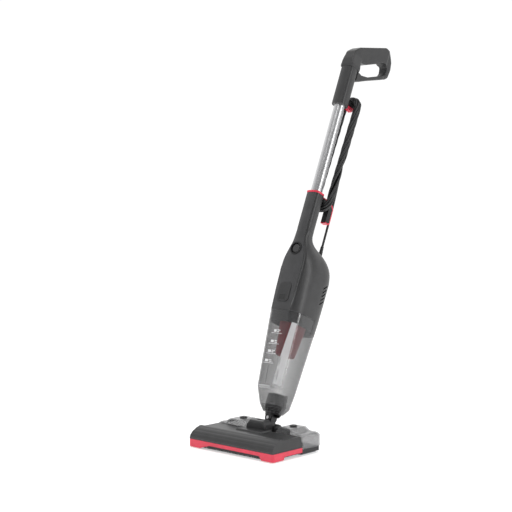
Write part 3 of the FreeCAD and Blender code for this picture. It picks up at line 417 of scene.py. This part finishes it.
def add_cup_details():
    """Painted reflection strip down the corner of the cup, its fill marks, a painted highlight
    along its foot, its seam, and a strip of painted groove shade on the collar above it."""
    # painted reflection: a light clear strip down the cup's corner, where the side softbox shows in
    # it
    reflection_strip = applied_patch("cup_painted_reflection", "dust_cup",
                          lambda s: (30.0 + 11.0 * s, -26.0 + 14.0 * s),
                          lambda s: (50.0 + 1.0 * s, 2.0 - 4.0 * s),
                          (97.0, 258.0), CUP_AXIS_Y, 0.5, inward=0.3)
    finish_piece(reflection_strip, "cup", "painted_highlight_clear")
    # painted shade: a black strip on the collar where the housing's dark groove runs on
    groove_shade = applied_patch("collar_painted_groove_shade", "collar",
                          lambda s: (37.0, -24.0), lambda s: (52.0, -12.0),
                          (264.0, 284.0), CUP_AXIS_Y, 0.8, inward=0.3)
    finish_piece(groove_shade, "hand_unit", "soft_black")
    for i, t in enumerate(MARK_ROWS):
        middle = 4.0 - 3.3 * i
        add_mark(f"level_line_{i}", middle - 17.0, middle + 17.0, t - 8.0, t - 7.0)
        add_mark(f"level_block_{i}", middle - 9.0 - i, middle - 1.0, t - 4.5, t + 1.5)
        odd = i % 2
        add_mark(f"level_bar_{i}", middle + 2.0, middle + 11.0 - 2.0 * odd, t - 0.5, t + 1.5)
        add_mark(f"level_tick_{i}", middle + 2.0, middle + 8.0 + 2.0 * odd, t - 4.5, t - 2.5)
    # painted highlight: a light clear band where the crease at the cup's foot catches the light
    foot_highlight = front_plate("cup_painted_foot_highlight", -27.0, 14.0, (85.0, 92.0), 0.5, 10)
    finish_piece(foot_highlight, "cup", "painted_highlight_clear")
    seam = front_plate("cup_seam", -3.0, -2.2, (96.0, 142.0), 0.2, 2)
    finish_piece(seam, "cup", "charcoal_dark")


def add_mark(name, left, right, low, high):
    """One printed white bar on the front face of the cup."""
    mark = front_plate(name, left, right, (low, high), MARK_THICK)
    finish_piece(mark, "cup", "mark_white")


def tuft_row(y, half):
    """One row of bristle tufts, each a few splayed filaments wide."""
    low, high = TUFT_Z
    points = []
    faces = []
    count = int(2 * half / TUFT_STEP)
    for i in range(count):
        x = -half + (i + 0.5) * TUFT_STEP
        for k in range(FILAMENTS):
            base = len(points)
            lean_x = random.uniform(-0.5, 0.5)
            lean_y = random.uniform(-0.6, 0.6)
            px = x + (k - 1) * 0.8
            levels = ((high, 0.62, 0.0), (0.5 * (low + high), 0.55, 0.5), (low, 0.3, 1.0))
            for z, r, share in levels:
                for a in range(TUFT_SIDES):
                    turn = 2 * pi * a / TUFT_SIDES
                    points.append(Vector((px + lean_x * share + r * cos(turn),
                                          y + lean_y * share + r * sin(turn), z)) * MM)
            for ring in range(len(levels) - 1):
                first = base + TUFT_SIDES * ring
                next_ring = first + TUFT_SIDES
                for a in range(TUFT_SIDES):
                    b = (a + 1) % TUFT_SIDES
                    faces.append((first + a, first + b, next_ring + b, next_ring + a))
            last = len(points) - 1
            faces.append(tuple(base + a for a in range(TUFT_SIDES)))
            faces.append(tuple(last - a for a in range(TUFT_SIDES)))
    return points, faces


def add_bristles():
    """Two rows of tufts in place of the CAD's plain strips, in the middle of each strip."""
    low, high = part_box("bristle_strips")
    half_strip = 1.5 * MM
    points = []
    faces = []
    for y in (low[1] + half_strip, high[1] - half_strip):
        row_points, row_faces = tuft_row(y / MM, high[0] / MM - 1.0)
        faces += [tuple(len(points) + v for v in face) for face in row_faces]
        points += row_points
    tufts = link_mesh("bristle_tufts", points, faces)
    finish_piece(tufts, "head", "bristle")
    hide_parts("bristle_strips")


def add_mop_pad():
    """Microfibre pad: a soft slab with rounded borders and a quilted underside."""
    low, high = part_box("mop_pad")
    half_x, half_y = (high[0] - low[0]) / 2, (high[1] - low[1]) / 2
    middle_x, middle_y = (high[0] + low[0]) / 2, (high[1] + low[1]) / 2
    thick = high[2] - low[2]
    columns, rows, corner = PAD_COLUMNS, PAD_ROWS, PAD_CORNER
    points = []
    faces = []
    for layer in (0, 1):
        for j in range(rows + 1):
            for i in range(columns + 1):
                x = half_x * sin((2 * i / columns - 1) * pi / 2)
                y = half_y * sin((2 * j / rows - 1) * pi / 2)
                over_x = max(0.0, abs(x) - (half_x - corner))
                over_y = max(0.0, abs(y) - (half_y - corner))
                reach = sqrt(over_x ** 2 + over_y ** 2)
                if reach > corner:
                    x -= (1 - corner / reach) * over_x * (1 if x > 0 else -1)
                    y -= (1 - corner / reach) * over_y * (1 if y > 0 else -1)
                edge = min(1.0, (half_x - abs(x)) / PAD_EDGE, (half_y - abs(y)) / PAD_EDGE)
                puff = 0.5 * thick * sqrt(max(0.0, 1 - (1 - max(0.0, edge)) ** 2))
                quilt = QUILT_DEPTH * (1 - abs(sin(x * pi / QUILT_PITCH)) ** 0.5)
                place = Vector((x, y, layer * 0.1))
                rough = abs(CLOTH_ROUGH * noise.noise(place * CLOTH_SCALE))
                if layer:
                    z = thick / 2 + puff * PAD_FULLNESS - rough
                else:
                    z = thick / 2 - puff * PAD_FULLNESS + rough + quilt * edge
                points.append(Vector((middle_x + x, middle_y + y, low[2] + z)))
    wide = columns + 1
    count = wide * (rows + 1)
    for j in range(rows):
        for i in range(columns):
            a = j * wide + i
            faces.append((a, a + wide, a + wide + 1, a + 1))
            faces.append((count + a, count + a + 1, count + a + wide + 1, count + a + wide))
    for a, b in rim_edges(rows + 1, wide):
        faces.append((a, b, count + b, count + a))
    pad = link_mesh("microfibre_pad", points, faces)
    finish_piece(pad, "mop_unit", "mop_cloth")
    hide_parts("mop_pad")


def soften(node, voxel, rounds):
    """Rounds the edges of a CAD node by two modifiers, which also shift its faces a little."""
    remesh = NODES[node].modifiers.new("even_mesh", "REMESH")
    remesh.mode = "VOXEL"
    remesh.voxel_size = voxel * MM
    remesh.use_smooth_shade = True
    smooth = NODES[node].modifiers.new("round_edges", "SMOOTH")
    smooth.factor = 0.5
    smooth.iterations = rounds


# ---------------------------------------------------------------- cord
CORD_D = 6.3
HANK_X = 23.5                        # distance of each run from the middle
HANK_Y = 30.5                        # of the lower bend behind the wand line
HANK_TILT = radians(2.0)
HANK_T = (605.2, 878.8)              # centres of the two end bends
CORD_EXIT = (0.0, 76.0, 474.0)
LEAD_ROUTE = (CORD_EXIT, (0.0, 76.0, 520.0), (0.0, 75.5, 570.0), (1.5, 73.0, 604.0),
              (6.0, 66.0, 636.0), (13.0, 55.5, 668.0), (21.0, 41.5, 708.0))
TAIL_ROUTE = ((-30.0, 33.0, 658.0), (-36.5, 31.5, 628.0), (-38.0, 30.0, 596.0))
STRANDS = 7
STRAND_RING = 7.45                   # radius of the ring that the strands lie on
RING_DRIFT = 0.05                    # share by which a strand wanders in and out
DRIFT_LENGTH = 60.0
LAY_TURNS = 3                        # turns of the bundle about itself in one lap
ENTRY_T = 738.0                      # where the cord joins the right run
EXIT_T = 690.0                       # and where it leaves the left run
RUN_STEPS = 10
BEND_STEPS = 8


def hank_line(s):
    """Middle of the bundle and its outward side, s along one turn that starts up the right run."""
    low, high = HANK_T
    run = high - low
    bend = pi * HANK_X
    if s < run:
        return (HANK_X, low + s), (1.0, 0.0)
    if s < run + bend:
        a = (s - run) / HANK_X
        return (HANK_X * cos(a), high + HANK_X * sin(a)), (cos(a), sin(a))
    if s < 2 * run + bend:
        return (-HANK_X, high - (s - run - bend)), (-1.0, 0.0)
    a = pi + (s - 2 * run - bend) / HANK_X
    return (HANK_X * cos(a), low + HANK_X * sin(a)), (cos(a), sin(a))


def hank_points():
    """The wound turns: strands lie side by side round the bundle and twist about it."""
    low, high = HANK_T
    run = high - low
    bend = pi * HANK_X
    lap = 2 * (run + bend)
    steps = [k * run / RUN_STEPS for k in range(RUN_STEPS)]
    steps += [run + k * bend / BEND_STEPS for k in range(BEND_STEPS)]
    steps += [s + run + bend for s in steps]
    start = ENTRY_T - low
    stop = (STRANDS - 1) * lap + run + bend + (high - EXIT_T)
    twist = (2 * pi * LAY_TURNS + 2 * pi / STRANDS) / lap
    points = []
    for turn in range(STRANDS):
        for step in steps:
            s = turn * lap + step
            if start <= s <= stop:
                (x, t), (out_x, out_t) = hank_line(step)
                a = pi / 2 + twist * (s - start)
                drift = RING_DRIFT * noise.noise(Vector((s / DRIFT_LENGTH, turn, 0.0)))
                ring = STRAND_RING * (1.0 + drift)
                away = ring * cos(a)
                along = t + out_t * away - low
                back = ring * sin(a)
                points.append((x + out_x * away,
                               HANK_Y + along * sin(HANK_TILT) + back * cos(HANK_TILT),
                               low + along * cos(HANK_TILT) - back * sin(HANK_TILT)))
    return points


def nurbs(name, points, diameter):
    """One open round curve through the neighbourhood of its points."""
    curve = bpy.data.curves.new(name, "CURVE")
    curve.dimensions = "3D"
    spline = curve.splines.new("NURBS")
    spline.points.add(len(points) - 1)
    for target, point in zip(spline.points, points):
        target.co = (*point, 1.0)
    spline.order_u = 3
    spline.use_endpoint_u = True
    curve.bevel_depth = diameter / 2
    curve.bevel_resolution = 3
    curve.resolution_u = 6
    curve.use_fill_caps = True
    piece = bpy.data.objects.new(name, curve)
    bpy.context.scene.collection.objects.link(piece)
    return piece


def add_cord():
    """Mains cord: out of the housing, round both hooks, and down to the plug."""
    points = list(LEAD_ROUTE) + hank_points() + list(TAIL_ROUTE)
    flex = nurbs("mains_flex", [stick(*p) for p in points], CORD_D * MM)
    finish_piece(flex, "hand_unit", "cord_black")
    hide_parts("cord_lead", "cord_hank", "cord_tail")


random.seed(SEED)
add_camera()
add_cord()
dress_cad()
add_cup_details()
add_bristles()
add_mop_pad()
soften("handle_loop", 1.3, 14)
add_studio()
